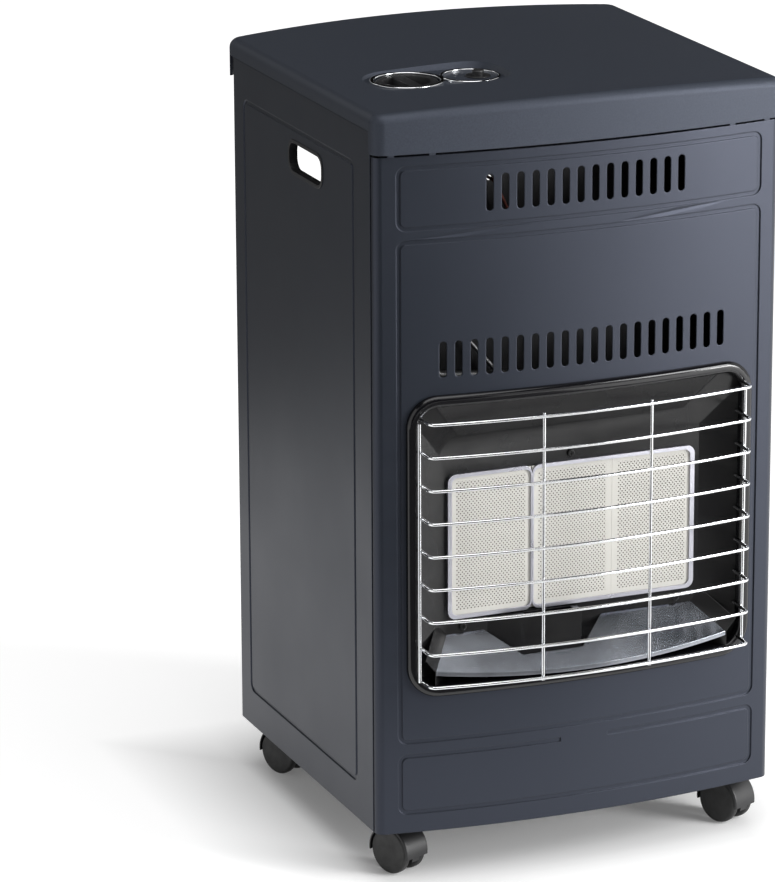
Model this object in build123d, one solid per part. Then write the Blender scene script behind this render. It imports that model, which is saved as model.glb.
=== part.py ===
from build123d import *
import os
from math import atan2, cos, sin, sqrt

# Cabinet gas heater on casters: a bowed steel cabinet that hides the gas bottle, a three-plaque
# radiant burner behind a wire guard, and a plastic top with the gas knob and the spark button.
# Millimetres. X runs to the right, Y to the rear, Z up from the floor. The pieces are drawn from
# the seam between the side panels and the front panel (y = 0) and are moved on export, so that
# the origin lies on the floor under the middle of the footprint.

# ---- driving dimensions -------------------------------------------------------------------
WIDTH = 404.0            # across the side panels
SIDE_DEPTH = 354.0       # side panel, from the front seam to its rear face
FRONT_REACH = 27.0       # crown of the bowed front panel, ahead of the seam
FRONT_CORNER = 10.0      # rounded vertical edge of the front panel
REAR_CORNER = 10.0       # rounded rear edge of a side panel
REAR_REACH = 22.0        # crown of the bowed rear cover, behind the side panels
BOTTOM = 54.0            # underside of the cabinet, which is the height of a caster
FRONT_HEIGHT = 645.0     # front panel
SIDE_HEIGHT = 667.0      # side panel
LID_EDGE = 684.0         # lid, where its top meets its sides
LID_CROWN = 6.0          # extra height of the lid along its middle
SHEET = 1.0              # painted sheet steel
SEAM = 1.5               # half the gap between front and side panels
LID_WALL = 2.5
LID_OVERHANG = 2.0
LID_ROUND = 9.0
LID_GAP = 2.5            # between the front panel and the lid
SIDE_GAP = 1.3           # between a side panel and the lid
LID_FEET = (-187, -149, 149, 187)

# front panel: pressed grooves (low edge, high edge above the cabinet's underside), vents, window
GROOVE_HALF = 180.0
GROOVE_CORNER = 7.0
GROOVE_WIDTH = 4.0
GROOVE_DEPTH = 1.2
UPPER_FIELD = (578.0, 634.0)
MIDDLE_FIELD = (89.5, 565.5)
LOWER_FIELD = (20.0, 75.5)
LOWER_BREAK = 24.0       # half the break in the lower field's top groove
SLOT = (34.0, 7.0)       # vent slot, length and width
SLOT_PITCH = 14.65
UPPER_VENT = (14, 607.0)     # slots, height of their middle
LOWER_VENT = (20, 454.5)
WINDOW_HALF = 174.0      # outer edge of the window surround
WINDOW = (132.5, 421.5)
WINDOW_CORNER = 30.0
LIP = 11.0               # width of the surround's rolled lip
LIP_PROUD = 5.5          # how far it stands out of the front panel
LIP_ROUND = 4.4

# radiant burner
LINER_FRONT = -10.0      # where the surround's skirt ends and the firebox starts
LINER_BACK = 8.0         # face of the firebox's back plate
BACK_HALF = 133.0
BACK = (142.5, 374.0)
PLAQUE_SPANS = ((-122.0, -40.6), (-39.7, 41.7), (41.7, 123.1))      # left, middle, right
PLAQUE_HEIGHT = 137.0
PLAQUE_DEPTH = 13.0
PLAQUE_FACE = 6.5        # the plaques stand a little ahead of the back plate
PLAQUE_MIDDLE = 266.5    # height above the cabinet's underside
VIEW_HEIGHT = 133.0      # what the rims leave open
LEFT_RIM = ((-121.0, -41.5), (-125.0, -40.2))       # open view and outer edge, in X
DOUBLE_RIM = ((-38.5, 121.5), (-40.1, 126.0))
BURNER_BACK = 40.0
VENTURI_X = (-81.0, 42.0)
VENTURI_Y = 25.0
VENTURI_LOW = 160.0
MANIFOLD = (-104.0, 58.0)
MANIFOLD_LOW = 136.0
TRAY_TOP = 181.5         # rear edge of the reflector tray
TRAY_TOP_HALF = 125.2
TRAY_CORNER = (148.0, -21.6)     # where its sides meet its bowed front edge
TRAY_BOW = 12.0
TRAY_SLOPE = 0.8         # fall per millimetre towards the front
TRAY_SHEET = 0.8
TRAY_FOLD = 4.0          # turned-down front edge
TRAY_NOTCH = (-89.0, -58.5, 2.5, 34.0)       # for the pilot: mouth, floor, floor, mouth
TRAY_NOTCH_LOW = 161.0
TRAY_WING = (9.7, 11.5)  # how far the black wings at its ends lean out and rise
PILOT_PLAN = ((-54.0, -9.0), (4.5, -9.0), (4.5, 8.0), (-84.0, 8.0))
PILOT_TOP = 195.0
FIRE_FLOOR = BOTTOM + WINDOW[0] + LIP
SHIELD_Y = 56.0          # heat shield between the burner and the bottle

PILOT_AT = (-26.0, 2.0)
PROBES = (-38.0, -14.0)  # thermocouple and spark electrode, either side of the pilot
PROBE_RADIUS = 1.5

# wire guard
WIRE = 1.6               # wire radius
GUARD_HALF = 161.4
GUARD_END_Y = -41.5      # bend at each end of a wire
GUARD_SAG = 15.5         # how far the wires bow out between the bends
GUARD_LOW = 149.7
GUARD_PITCH = 31.44
GUARD_WIRES = 9
GUARD_BEND = 6.0
GUARD_LEG_END = -10.0
GUARD_POST = 164.4       # upright wires outside the legs, and behind the bowed wires
GUARD_POST_Y = -22.0
GUARD_INNER_POST = 54.0

# side panels
SIDE_FIELD = (42.0, 318.5, 38.0, 630.0)      # front, rear, low and high line of the groove
HANDLE = (159.0, 603.6, 84.0, 30.0)          # middle y, middle z, length, height of the hand hole
HANDLE_CORNER = 12.0

# controls, in the recess of the lid
RECESS = (-95.0, 104.0, 134.0, 84.0)         # middle x, middle y, length, width
RECESS_CORNER = 30.0
KNOB_AT = (-121.5, 108.0)
DISH_AT = (-60.0, 104.0)
BUTTON_AT = (-52.0, 105.0)
KNOB_RING = 34.5         # outer radius of the knob's chromed ring
DISH_RING = 28.5
RING_WIDTH = 3.0
KNOB_RADIUS = 29.2
SCOOP_RADIUS = 21.0
WELL_RADIUS = 30.5
WELL_DEPTH = 16.0
IGNITER_RADIUS = 9.2
IGNITER_LOW = 625.5
PRESS_TRAVEL = 4.0
BUTTON_TRAVEL = 5.0
CONTROL_Z = BOTTOM + LID_EDGE           # floor of the recess
BEZEL_HEIGHT = 2.5
KNOB_LOW = CONTROL_Z - WELL_DEPTH + PRESS_TRAVEL + 0.6
KNOB_TOP = CONTROL_Z + 1
KNOB_GRIP = 14.0
BUTTON_RADIUS = 5.5
BRACKET_LOW = 650.0      # plate over the heat shield
GLAND = 5.0              # how far the valve's gland stands above the bracket's underside
GLAND_RADIUS = 8.0
SPINDLE_RADIUS = 3.0
SLEEVE = (11.0, 16.0)
PIPE_Z = 622.0
TAIL_RADIUS = 4.8        # plain land of the hose tail, under the clamp
TAIL_LAND = 8.0
TAIL_DROP = 20.0         # degrees that the tail points down, to pass under the rear rail
ELBOW_Y = 36.0           # elbow of the hose tail behind the knob's axis
ELBOW_RADIUS = 7.0
TAIL_START = sqrt(ELBOW_RADIUS**2 - TAIL_RADIUS**2)      # where the land leaves the elbow
OUTLETS = ((-150.0, 4.0), (-120.0, 4.0), (-95.0, 2.0))      # left pair, right pair, pilot
VALVE_SCREWS = [(KNOB_AT[0] + i * 20, KNOB_AT[1] + j * 20) for i in (-1, 1) for j in (-1, 1)]
VALVE_SCREW_SEATS = [(x, y, BOTTOM + BRACKET_LOW + 1.5) for x, y in VALVE_SCREWS]
LEAD_X = -62.0           # spark lead's way through the heat shield

# pipes and lead: name, corner points above the cabinet's underside, radius, bend
PIPES = (
    ("feed_pipe_left", ((-150, 84, PIPE_Z), (-150, 51, PIPE_Z), (-150, 51, 142.5),
                        (-150, 25, 142.5), (-104, 25, 142.5)), 4.0, 10),
    ("feed_pipe_right", ((-120, 84, PIPE_Z), (-120, 51, PIPE_Z), (-120, 51, 420), (80, 51, 400),
                         (80, 51, 142.5), (80, 25, 142.5), (58, 25, 142.5)), 4.0, 10),
    ("pilot_tube", ((-95, 84, PIPE_Z), (-95, 44, PIPE_Z), (-95, 44, 460), (-26, 44, 380),
                    (-26, 44, 156), (-26, 5, 156)), 2.0, 10),
    ("spark_lead", ((*BUTTON_AT, IGNITER_LOW), (*BUTTON_AT, 610),
                    (LEAD_X, 90, 600), (LEAD_X, 44, 600), (-14, 44, 500), (-14, 44, 166),
                    (-14, 3.5, 166)), 1.5, 5),
)

# casters: stem position from the cabinet's middle and the seam, direction in which they trail
STEM_X = 171.0
FRONT_STEM_Y = 46.0
REAR_STEM_Y = 336.0
TRAIL_ANGLE = -66.0
CASTERS = {
    "front_left": (-STEM_X, FRONT_STEM_Y),
    "front_right": (STEM_X, FRONT_STEM_Y),
    "rear_left": (-STEM_X, REAR_STEM_Y),
    "rear_right": (STEM_X, REAR_STEM_Y),
}
WHEEL_RADIUS = 22.0
WHEEL_WIDTH = 8.5
WHEEL_GAP = 5.8          # from the caster's middle plane to a wheel
TRAIL = 16.0
HOOD_RADIUS = 25.0
HOOD_INNER = 22.8
HOOD_WIDTH = 29.4
HOOD_LOW = 19.0
HOOD_TOP = BOTTOM - 2.1
SOCKET_RADIUS = 7.5
STEM_RADIUS = 4.0
AXLE_RADIUS = 3.0
RUNNING = 0.05           # radial clearance of a running fit

REAR_COVER = (6.0, 500.0)        # low and high edge above the cabinet's underside
RAIL = (600.0, 660.0)
FIREBOX_SCREWS = [(x, LINER_BACK, BOTTOM + z) for x, z in ((0, 343), (-109, 188), (109, 188))]
RAIL_SCREWS = [(x, SIDE_DEPTH, BOTTOM + z) for x in (-185, 185) for z in (612, 648)]
ORIGIN_Y = -(SIDE_DEPTH + 24.0 + GUARD_END_Y - GUARD_SAG - WIRE) / 2

HALF = WIDTH / 2
PARTS = {}


def keep(name, shape):
    """Stores one named piece, moved so that the footprint's middle is at the origin."""
    PARTS[name] = Pos(0, ORIGIN_Y, 0) * shape


# ---- shared outlines ------------------------------------------------------------------------
def bow_radius(half, corner, reach):
    """Radius of the shallow arc that runs tangent into two corner arcs."""
    return ((half - corner) ** 2 + reach**2 - corner**2) / (2 * (reach - corner))


def bowed_end(half, corner, reach, y, way):
    """Corner arc, bow and corner arc from (half, y) to (-half, y); way is -1 front, +1 rear."""
    radius = bow_radius(half, corner, reach)
    middle_y = radius - reach
    turn = atan2(-middle_y, half - corner)
    joint = (radius * cos(turn), middle_y + radius * sin(turn))
    corner_mid = (half - corner + corner * cos(turn / 2), corner * sin(turn / 2))

    def at(point, side):
        return (side * point[0], y - way * point[1])

    return [
        ThreePointArc(at((half, 0), 1), at(corner_mid, 1), at(joint, 1)),
        ThreePointArc(at(joint, 1), at((0, -reach), 1), at(joint, -1)),
        ThreePointArc(at(joint, -1), at(corner_mid, -1), at((half, 0), -1)),
    ]


def front_block(inset, low, high, back=0.0):
    """The space behind the bowed front, inset from its face, as far back as y = back."""
    half = HALF - inset
    edges = bowed_end(half, FRONT_CORNER - inset, FRONT_REACH - inset, 0, -1)
    if back > 0:
        edges += [Polyline((-half, 0), (-half, back), (half, back), (half, 0))]
    else:
        edges += [Line((-half, 0), (half, 0))]
    return Pos(0, 0, low) * extrude(make_face(edges), high - low)


def front_layer(outer, inner, low, high):
    """A curved layer of the front, between two depths under its face."""
    return front_block(outer, low, high) - front_block(inner, low, high)


def wall_prism(sketch, near, far):
    """A sketch drawn in X and Z, run from y = near to y = far."""
    return Pos(0, near, 0) * extrude(Plane.XZ * sketch, -(far - near))


def field(half, span, corner, grow=0.0):
    """A rounded rectangle in X and Z, given by its half width and its two heights."""
    low, high = span
    middle = BOTTOM + (low + high) / 2
    return Pos(0, middle) * RectangleRounded(
        2 * (half + grow), high - low + 2 * grow, corner + grow
    )


def bar(x0, x1, y0, y1, z0, z1):
    """A plain block between two corners."""
    return Pos((x0 + x1) / 2, (y0 + y1) / 2, (z0 + z1) / 2) * Box(x1 - x0, y1 - y0, z1 - z0)


def post(x, y, z0, z1, radius):
    """An upright cylinder."""
    return Pos(x, y, (z0 + z1) / 2) * Cylinder(radius, z1 - z0)


def tube(points, bend, radius):
    """A round pipe along straight runs joined by bends."""
    path = FilletPolyline(*points, radius=bend)
    start = Plane(origin=path @ 0, z_dir=path % 0)
    return sweep(start * Circle(radius), path=path)


# ---- cabinet ----------------------------------------------------------------------------------
def front_panel():
    """Bowed pressed sheet with its grooves, two rows of vents and the window."""
    low, high = BOTTOM, BOTTOM + FRONT_HEIGHT
    panel = front_layer(0, SHEET, low, high)
    panel -= bar(-HALF - 1, HALF + 1, -SEAM, 1, low - 1, high + 1)
    half_line = GROOVE_WIDTH / 2
    for span in (UPPER_FIELD, MIDDLE_FIELD, LOWER_FIELD):
        line = field(GROOVE_HALF, span, GROOVE_CORNER, half_line)
        line -= field(GROOVE_HALF, span, GROOVE_CORNER, -half_line)
        back = field(GROOVE_HALF, span, GROOVE_CORNER, half_line + SHEET)
        back -= field(GROOVE_HALF, span, GROOVE_CORNER, -half_line - SHEET)
        if span == LOWER_FIELD:
            gap = Pos(0, BOTTOM + span[1]) * Rectangle(2 * LOWER_BREAK, 4 * GROOVE_WIDTH)
            line -= gap
            back -= gap
        reach = (-FRONT_REACH - 1, 0)
        cut = wall_prism(line, *reach) & front_layer(0, GROOVE_DEPTH, low, high)
        ridge = wall_prism(back, *reach) & front_layer(SHEET, GROOVE_DEPTH + SHEET, low, high)
        panel = (panel + ridge) - cut
    slot = SlotOverall(SLOT[0], SLOT[1], rotation=90)
    for count, height in (UPPER_VENT, LOWER_VENT):
        row = Sketch() + [
            Pos((i - (count - 1) / 2) * SLOT_PITCH, BOTTOM + height) * slot for i in range(count)
        ]
        panel -= wall_prism(row, -FRONT_REACH - 1, 0)
    inner = field(WINDOW_HALF, WINDOW, WINDOW_CORNER, -3)
    panel -= wall_prism(inner, -FRONT_REACH - 1, 0)
    # tongues that lap inside the side panels, and the folded top and bottom edges
    for side in (-1, 1):
        edge = HALF - SHEET
        panel += bar(*sorted((side * (edge - SHEET), side * edge)), -2.2, 12, low, high)
    for z0 in (low, high - SHEET):
        fold = front_block(SHEET / 2, z0, z0 + SHEET) - front_block(12, z0 - 1, z0 + SHEET + 1)
        panel += fold & bar(-HALF + 6, HALF - 6, -FRONT_REACH, -3, z0, z0 + SHEET)
    return panel


def side_panel(side):
    """Flat pressed side with a groove, a hand hole and folded edges; side is -1 left, +1 right."""
    inner = HALF - SHEET
    plan = [
        Line((HALF, SEAM), (HALF, SIDE_DEPTH - REAR_CORNER)),
        RadiusArc(
            (HALF, SIDE_DEPTH - REAR_CORNER), (HALF - REAR_CORNER, SIDE_DEPTH), -REAR_CORNER
        ),
        Polyline(
            (HALF - REAR_CORNER, SIDE_DEPTH),
            (HALF - 22, SIDE_DEPTH),
            (HALF - 22, SIDE_DEPTH - SHEET),
            (HALF - REAR_CORNER, SIDE_DEPTH - SHEET),
        ),
        RadiusArc(
            (HALF - REAR_CORNER, SIDE_DEPTH - SHEET),
            (inner, SIDE_DEPTH - REAR_CORNER),
            REAR_CORNER - SHEET,
        ),
        Polyline((inner, SIDE_DEPTH - REAR_CORNER), (inner, SEAM), (HALF, SEAM)),
    ]
    panel = Pos(0, 0, BOTTOM) * extrude(make_face(plan), SIDE_HEIGHT)
    top = BOTTOM + SIDE_HEIGHT
    panel += bar(HALF - 14, inner + 0.2, SEAM + 14, SIDE_DEPTH - 14, top - SHEET, top)
    # groove: cut on the outside, raised on the inside
    y0, y1, z0, z1 = SIDE_FIELD
    middle = Plane.YZ * Pos((y0 + y1) / 2, BOTTOM + (z0 + z1) / 2)

    def frame(grow):
        outer = RectangleRounded(y1 - y0 + 2 * grow, z1 - z0 + 2 * grow, GROOVE_CORNER + grow)
        hole = RectangleRounded(y1 - y0 - 2 * grow, z1 - z0 - 2 * grow, GROOVE_CORNER - grow)
        return middle * (outer - hole)

    half_line = GROOVE_WIDTH / 2
    ridge = Pos(inner - GROOVE_DEPTH, 0, 0) * extrude(frame(half_line + SHEET), GROOVE_DEPTH)
    cut = Pos(HALF - GROOVE_DEPTH, 0, 0) * extrude(frame(half_line), GROOVE_DEPTH + 1)
    panel = (panel + ridge) - cut
    my, mz, length, height = HANDLE
    hole = Plane.YZ * Pos(my, BOTTOM + mz) * RectangleRounded(length, height, HANDLE_CORNER)
    panel -= Pos(HALF - 6, 0, 0) * extrude(hole, 12)
    return panel if side > 0 else mirror(panel, Plane.YZ)


def hand_grip(side):
    """Plastic edging pressed into a hand hole: a thin outer lip and a collar behind it."""
    my, mz, length, height = HANDLE
    seat = Plane.YZ * Pos(my, BOTTOM + mz)

    def outline(grow):
        return seat * RectangleRounded(length + 2 * grow, height + 2 * grow, HANDLE_CORNER + grow)

    wall = 1.6
    collar = Pos(HALF - 8, 0, 0) * extrude(outline(0), 8)
    lip = Pos(HALF, 0, 0) * extrude(outline(1.6), 0.8)
    grip = (collar + lip) - Pos(HALF - 9, 0, 0) * extrude(outline(-wall), 12)
    return grip if side > 0 else mirror(grip, Plane.YZ)


def base_plate():
    """Floor of the cabinet: a tray with turned-up edges, caster holes and a bottle ring."""
    fit = 2 * SHEET + 0.1
    rear = SIDE_DEPTH - SHEET
    thick = 1.5
    low = BOTTOM + SHEET

    def block(inset, base, corner):
        solid = front_block(inset, base, low + 15, rear - inset + fit)
        return fillet(solid.edges().filter_by(Axis.Z).group_by(Axis.Y)[-1], corner)

    tray = block(fit, low, REAR_CORNER) - block(fit + thick, low + thick, REAR_CORNER - thick)
    for x, y in CASTERS.values():
        tray -= post(x, y, low - 1, low + 3, SOCKET_RADIUS)
    tray += Pos(0, 212, low + thick + 1) * (Cylinder(138, 4) - Cylinder(130, 4))
    # slots in the rear edge, for the tongues of the rear cover
    for x in (-110, 110):
        tray -= bar(x - 16, x + 16, rear - 3, rear + 2, BOTTOM + 8, BOTTOM + 13)
    return tray


def heat_shield():
    """Steel wall between the burner and the bottle, with folded sides and a folded foot."""
    low, high = BOTTOM + SHEET + 1.5, BOTTOM + BRACKET_LOW
    edge = HALF - SHEET
    shield = bar(-edge, edge, SHIELD_Y, SHIELD_Y + SHEET, low, high)
    for side in (-1, 1):
        near, far = sorted((side * (edge - SHEET), side * edge))
        shield += bar(near, far, SHIELD_Y, SHIELD_Y + 16, low + 24, high)
    shield += bar(-edge + 6, edge - 6, SHIELD_Y, SHIELD_Y + 14, low, low + SHEET)
    shield += bar(-edge + 6, edge - 6, SHIELD_Y - 12, SHIELD_Y, high - SHEET, high)
    # the ends clear the turned-up edge of the base and the grooves of the side panels
    for side in (-1, 1):
        near, far = sorted((side * (edge - 4), side * (edge + 1)))
        shield -= bar(near, far, SHIELD_Y - 1, SHIELD_Y + 20, low - 1, low + 24)
        for line in SIDE_FIELD[2:]:
            z = BOTTOM + line
            shield -= bar(near, far, SHIELD_Y - 1, SHIELD_Y + 20, z - 4, z + 4)
    # close holes for the pipes and the spark lead, and pressed stiffening ribs
    holes = [(x, PIPE_Z, radius + 1) for x, radius in OUTLETS] + [(LEAD_X, 600, 2.5)]
    for x, z, radius in holes:
        shield -= Pos(x, SHIELD_Y, BOTTOM + z) * Rot(90, 0, 0) * Cylinder(radius, 8)
    for z in (120, 300, 480):
        rib = bar(-150, 150, SHIELD_Y + SHEET, SHIELD_Y + 3, BOTTOM + z, BOTTOM + z + 10)
        shield += chamfer(rib.edges().filter_by(Axis.X).group_by(Axis.Y)[-1], 1.6)
    return shield


def rear_rail():
    """Channel across the top of the open rear, screwed to the folded edges of the side panels."""
    end = HALF - 12
    back = SIDE_DEPTH - SHEET
    low, high = BOTTOM + RAIL[0], BOTTOM + RAIL[1]
    rail = bar(-end, end, back - SHEET, back, low, high)
    rail += bar(-end, end, back - 18, back, high - SHEET, high)
    rail += bar(-end, end, back - 10, back, low, low + SHEET)
    return rail


def rear_cover():
    """Bowed cover of the bottle space with rows of vents; it pulls off to the rear."""
    low, high = BOTTOM + REAR_COVER[0], BOTTOM + REAR_COVER[1]
    half = HALF - 12

    def plan(inset):
        edges = bowed_end(half - inset, 8 - inset, REAR_REACH - inset, SIDE_DEPTH, 1)
        edges += [Line((-half + inset, SIDE_DEPTH), (half - inset, SIDE_DEPTH))]
        return make_face(edges)

    outer = Pos(0, 0, low) * extrude(plan(0), high - low)
    inner = Pos(0, 0, low + SHEET) * extrude(plan(SHEET), high - low - 2 * SHEET)
    cover = outer - inner
    slot = SlotOverall(46, 7)
    rows = [(x, BOTTOM + z) for z in (70, 88, 106, 390, 408, 426) for x in (-112, -56, 0, 56, 112)]
    vents = Sketch() + [Pos(x, z) * slot for x, z in rows]
    cover -= wall_prism(vents, SIDE_DEPTH + 2, SIDE_DEPTH + REAR_REACH + 2)
    for x in (-110, 110):
        cover += bar(x - 14, x + 14, SIDE_DEPTH - 9, SIDE_DEPTH + 1, BOTTOM + 10, BOTTOM + 12)
        cover += bar(x - 14, x + 14, SIDE_DEPTH, SIDE_DEPTH + 2, BOTTOM + 6.5, BOTTOM + 12)
    # shallow finger pull pressed into the top edge
    pull = Pos(0, SIDE_DEPTH + REAR_REACH, high) * Rot(0, 90, 0) * Cylinder(9, 90)
    shell = Pos(0, SIDE_DEPTH + REAR_REACH, high) * Rot(0, 90, 0) * (
        Cylinder(10, 92) - Cylinder(9, 90)
    )
    return (cover - pull) + (shell & outer)


# ---- lid and controls ---------------------------------------------------------------------------
def crown(top):
    """The space under the lid's gently arched top, whose edges are at the given height."""
    half = HALF + LID_OVERHANG
    arch = [
        ThreePointArc((-half, top), (0, top + LID_CROWN), (half, top)),
        Polyline((half, top), (half, BOTTOM + 600), (-half, BOTTOM + 600), (-half, top)),
    ]
    return wall_prism(make_face(arch), -60, 420)


def lid_plan(inset):
    """Outline of the lid seen from above."""
    half = HALF + LID_OVERHANG - inset
    front = bowed_end(half, 14 - inset, FRONT_REACH + LID_OVERHANG - inset, 0, -1)
    rear = bowed_end(half, 15 - inset, 30 - inset, SIDE_DEPTH - 6, 1)
    sides = [Line((side * half, 0), (side * half, SIDE_DEPTH - 6)) for side in (-1, 1)]
    return make_face(front + rear + sides)


def recess_cut(grow, depth):
    """Dished recess of the controls, with sloping walls."""
    x, y, length, width = RECESS
    mouth_z = BOTTOM + LID_EDGE + LID_CROWN + 2
    spread = 2 * grow
    base = RectangleRounded(length - 6 + spread, width - 6 + spread, RECESS_CORNER - 3 + grow)
    mouth = RectangleRounded(length + 4 + spread, width + 4 + spread, RECESS_CORNER + 2 + grow)
    return loft([Pos(x, y, CONTROL_Z - depth) * base, Pos(x, y, mouth_z) * mouth], ruled=True)


def top_cover():
    """Moulded lid: arched top, rounded edges, deep front skirt and the recess of the controls."""
    top = BOTTOM + LID_EDGE
    low = BOTTOM + FRONT_HEIGHT + LID_GAP
    side_low = BOTTOM + SIDE_HEIGHT + SIDE_GAP
    body = Pos(0, 0, low) * extrude(lid_plan(0), 60) & crown(top)
    body = fillet(body.faces().sort_by(Axis.Z)[-1].edges(), LID_ROUND)
    hollow = Pos(0, 0, low - 1) * extrude(lid_plan(LID_WALL), 60) & crown(top - LID_WALL)
    hollow = fillet(hollow.faces().sort_by(Axis.Z)[-1].edges(), LID_ROUND - LID_WALL)
    # walls under the recess, the knob's well and the spark button's socket
    hollow -= recess_cut(LID_WALL, LID_WALL)
    well_low = CONTROL_Z - WELL_DEPTH
    hollow -= post(*KNOB_AT, well_low - LID_WALL, CONTROL_Z, WELL_RADIUS + LID_WALL)
    hollow -= post(*BUTTON_AT, CONTROL_Z - 8, CONTROL_Z, IGNITER_RADIUS + 3)
    # bosses that stand on the folded top edges of the side panels
    bosses = [post(x, y, BOTTOM + SIDE_HEIGHT, top + 9, 5) for x in (-194, 194) for y in (40, 310)]
    hollow -= bosses
    lid = body - hollow
    lid -= recess_cut(0, 0)
    lid -= post(*KNOB_AT, well_low, CONTROL_Z + 1, WELL_RADIUS)
    lid -= post(*KNOB_AT, CONTROL_Z - 20, CONTROL_Z, 8)
    lid -= post(*BUTTON_AT, CONTROL_Z - 20, CONTROL_Z + 1, IGNITER_RADIUS)
    # the side skirts are short, because the side panels rise higher than the front panel
    lid -= bar(-HALF - 9, HALF + 9, 0, SIDE_DEPTH + 0.2, low - 2, side_low) - bosses
    # small feet that hold the gap above the front panel
    for x in LID_FEET:
        lid += front_layer(-1, SHEET, low - LID_GAP, low + 1) & bar(
            x - 3, x + 3, -40, 0, low - LID_GAP, low + 1
        )
    return lid


# ---- window and burner ----------------------------------------------------------------------------
def window_field(grow):
    """Outline of the window surround, grown or shrunk."""
    return field(WINDOW_HALF, WINDOW, WINDOW_CORNER, grow)


def hopper(grow, near, far):
    """Sloping block between the surround's skirt and the firebox's back plate."""
    mouth = Plane.XZ * window_field(SHEET - LIP + grow)
    end = Plane.XZ * field(BACK_HALF, BACK, WINDOW_CORNER - LIP + SHEET, grow)
    return loft([Pos(0, near, 0) * mouth, Pos(0, far, 0) * end], ruled=True)


def fire_space():
    """The space inside the surround's skirt and the firebox."""
    return hopper(-SHEET, LINER_FRONT, LINER_BACK) + wall_prism(
        window_field(-LIP), -2 * FRONT_REACH, LINER_FRONT
    )


def window_surround():
    """Enamelled frame: a rounded lip that stands out of the panel, and a skirt behind it."""
    low, high = BOTTOM + WINDOW[0] - 1, BOTTOM + WINDOW[1] + 1
    reach = (-FRONT_REACH - LIP_PROUD - 1, 0)
    lip = wall_prism(window_field(0) - window_field(-LIP), *reach)
    lip &= front_layer(-LIP_PROUD, 0, low, high)
    face = lip.faces().sort_by(Axis.Y)[0]
    lip = fillet(face.edges(), LIP_ROUND)
    skirt = wall_prism(window_field(SHEET - LIP) - window_field(-LIP), reach[0], LINER_FRONT)
    skirt &= front_block(-0.5, low, high)
    surround = lip + skirt
    # holes in the corners for the feet of the lowest and the highest guard wire
    for k in (0, GUARD_WIRES - 1):
        for side in (-1, 1):
            foot = Pos(side * GUARD_HALF, -20, BOTTOM + GUARD_LOW + k * GUARD_PITCH)
            surround -= foot * Rot(90, 0, 0) * Cylinder(WIRE, 40)
    return surround


def firebox_liner():
    """Black enamelled hopper: sloping walls from the surround to the plate round the burners."""
    flange = window_field(-1) - window_field(-LIP)
    liner = hopper(0, LINER_FRONT, LINER_BACK + SHEET) - fire_space()
    liner += wall_prism(flange, LINER_FRONT, LINER_FRONT + SHEET) - fire_space()
    z0 = BOTTOM + PLAQUE_MIDDLE - PLAQUE_HEIGHT / 2
    for x0, x1 in PLAQUE_SPANS:
        liner -= bar(x0, x1, LINER_BACK - 1, LINER_BACK + 2, z0, z0 + PLAQUE_HEIGHT)
    # way through for the pilot's tube, thermocouple and spark lead
    return liner - bar(-48, -4, LINER_BACK - 1, LINER_BACK + 2, BOTTOM + 150, BOTTOM + 172)


def plaque(span):
    """Ceramic burner plaque."""
    z0 = BOTTOM + PLAQUE_MIDDLE - PLAQUE_HEIGHT / 2
    return bar(*span, PLAQUE_FACE, PLAQUE_FACE + PLAQUE_DEPTH, z0, z0 + PLAQUE_HEIGHT)


def burner_rim(view, outer, spans):
    """Bright metal rim that clamps the plaques; view and outer are its edges in X."""
    z = BOTTOM + PLAQUE_MIDDLE
    middle = ((outer[0] + outer[1]) / 2, z)
    rim = Pos(*middle) * RectangleRounded(outer[1] - outer[0], VIEW_HEIGHT + 7, 8)
    open_view = Pos((view[0] + view[1]) / 2, z) * RectangleRounded(
        view[1] - view[0], VIEW_HEIGHT, 6
    )
    frame = wall_prism(rim - open_view, PLAQUE_FACE - 2, PLAQUE_FACE)
    seat = wall_prism(rim, PLAQUE_FACE, LINER_BACK)
    z0 = z - PLAQUE_HEIGHT / 2
    for x0, x1 in spans:
        seat -= bar(x0, x1, PLAQUE_FACE - 1, LINER_BACK + 1, z0, z0 + PLAQUE_HEIGHT)
    return frame + seat


def burner_body():
    """Pressed mixing box behind the plaques, parted into a single and a double chamber."""
    z0 = BOTTOM + PLAQUE_MIDDLE - PLAQUE_HEIGHT / 2
    z1 = z0 + PLAQUE_HEIGHT
    front = LINER_BACK + SHEET
    left, right = PLAQUE_SPANS[0][0], PLAQUE_SPANS[-1][1]
    box = bar(left - 3, right + 3, front, BURNER_BACK, z0 - 3, z1 + 3)
    box = fillet(box.edges().filter_by(Axis.Y), 4)
    chambers = (PLAQUE_SPANS[0], (PLAQUE_SPANS[1][0], right))
    for x0, x1 in chambers:
        box -= bar(x0, x1, front - 1, BURNER_BACK - 1.2, z0, z1)
    for x in VENTURI_X:
        box -= post(x, VENTURI_Y, z0 - 4, z0 + 1, 10)
    # feet that carry the box on the heat shield
    for x in (-60, 100):
        for z in (225, 300):
            box += bar(x - 8, x + 8, BURNER_BACK, SHIELD_Y, BOTTOM + z, BOTTOM + z + 16)
    return box


def venturi(x):
    """Mixing tube under a chamber, waisted, with an open trumpet mouth."""
    top = BOTTOM + PLAQUE_MIDDLE - PLAQUE_HEIGHT / 2 - 3
    low = BOTTOM + VENTURI_LOW
    waist = (top + low) / 2
    profile = make_face([
        Line((10, top), (13, top)),
        Spline((13, top), (9.5, waist), (14, low)),
        Line((14, low), (12.8, low)),
        Spline((12.8, low), (8.3, waist), (10, top)),
    ])
    return Pos(x, VENTURI_Y, 0) * revolve(Plane.XZ * profile, Axis.Z)


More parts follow.
